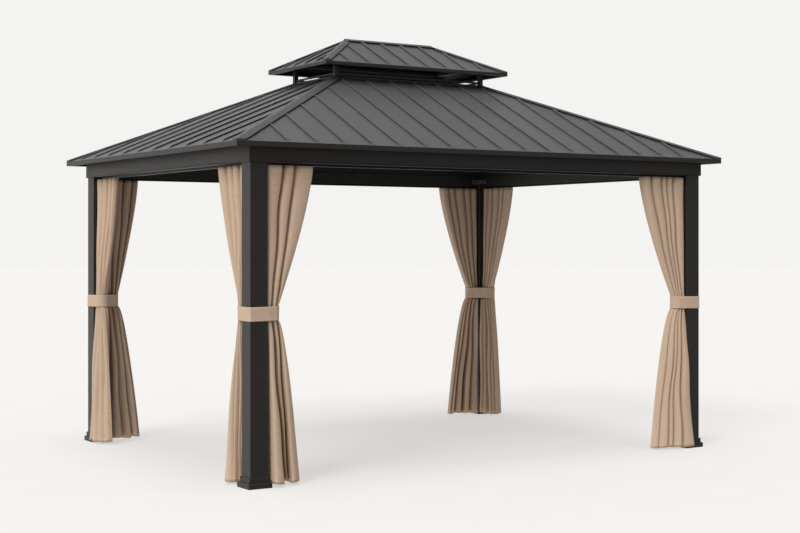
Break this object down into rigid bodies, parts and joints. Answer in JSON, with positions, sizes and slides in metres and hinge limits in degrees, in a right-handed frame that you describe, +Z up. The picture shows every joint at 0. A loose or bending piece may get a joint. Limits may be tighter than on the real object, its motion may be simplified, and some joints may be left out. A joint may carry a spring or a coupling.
{
  "type": "metal gazebo",
  "caption": "Rectangular open metal gazebo with square posts, a vented double hipped roof with standing seams, and fabric curtains tied back to the posts.",
  "frame": {"origin": "centre of the plan at ground level, under the ridge", "axes": "+X along the long side to the right as seen from the front, +Y from front to back, +Z up"},
  "size_m": [3.93, 2.92, 2.9884],
  "materials": {
    "frame": "charcoal powder coat, fine texture",
    "roof_sheet": "mid grey coated steel sheet, satin",
    "roof_cap": "mid grey coated steel, satin",
    "track": "anodised, matte",
    "curtain": "woven polyester, sand"
  },
  "bodies": {
    "root": {"post_front_left": "frame", "post_front_right": "frame", "post_back_left": "frame", "post_back_right": "frame", "base_covers": "frame", "corner_casting_front_left": "frame", "corner_casting_front_right": "frame", "corner_casting_back_left": "frame", "corner_casting_back_right": "frame", "beam_front": "frame", "beam_right": "frame", "beam_back": "frame", "beam_left": "frame", "curtain_tracks": "track", "hip_rafters": "frame", "common_rafters": "frame", "roof_front": "roof_sheet", "roof_right": "roof_sheet", "roof_back": "roof_sheet", "roof_left": "roof_sheet", "hip_caps": "roof_cap", "eave_trim": "frame", "vent_box": "frame", "vent_posts": "frame", "vent_bars": "frame", "vent_rails": "frame", "upper_roof_front": "roof_sheet", "upper_roof_right": "roof_sheet", "upper_roof_back": "roof_sheet", "upper_roof_left": "roof_sheet", "upper_hip_caps": "roof_cap", "ridge_cap": "roof_cap", "upper_eave_trim": "frame", "curtain_long_front_left": "curtain", "curtain_long_front_right": "curtain", "curtain_long_back_left": "curtain", "curtain_long_back_right": "curtain", "curtain_short_front_left": "curtain", "curtain_short_front_right": "curtain", "curtain_short_back_left": "curtain", "curtain_short_back_right": "curtain", "tie_band_front_left": "curtain", "tie_band_front_right": "curtain", "tie_band_back_left": "curtain", "tie_band_back_right": "curtain"}
  },
  "joints": []
}
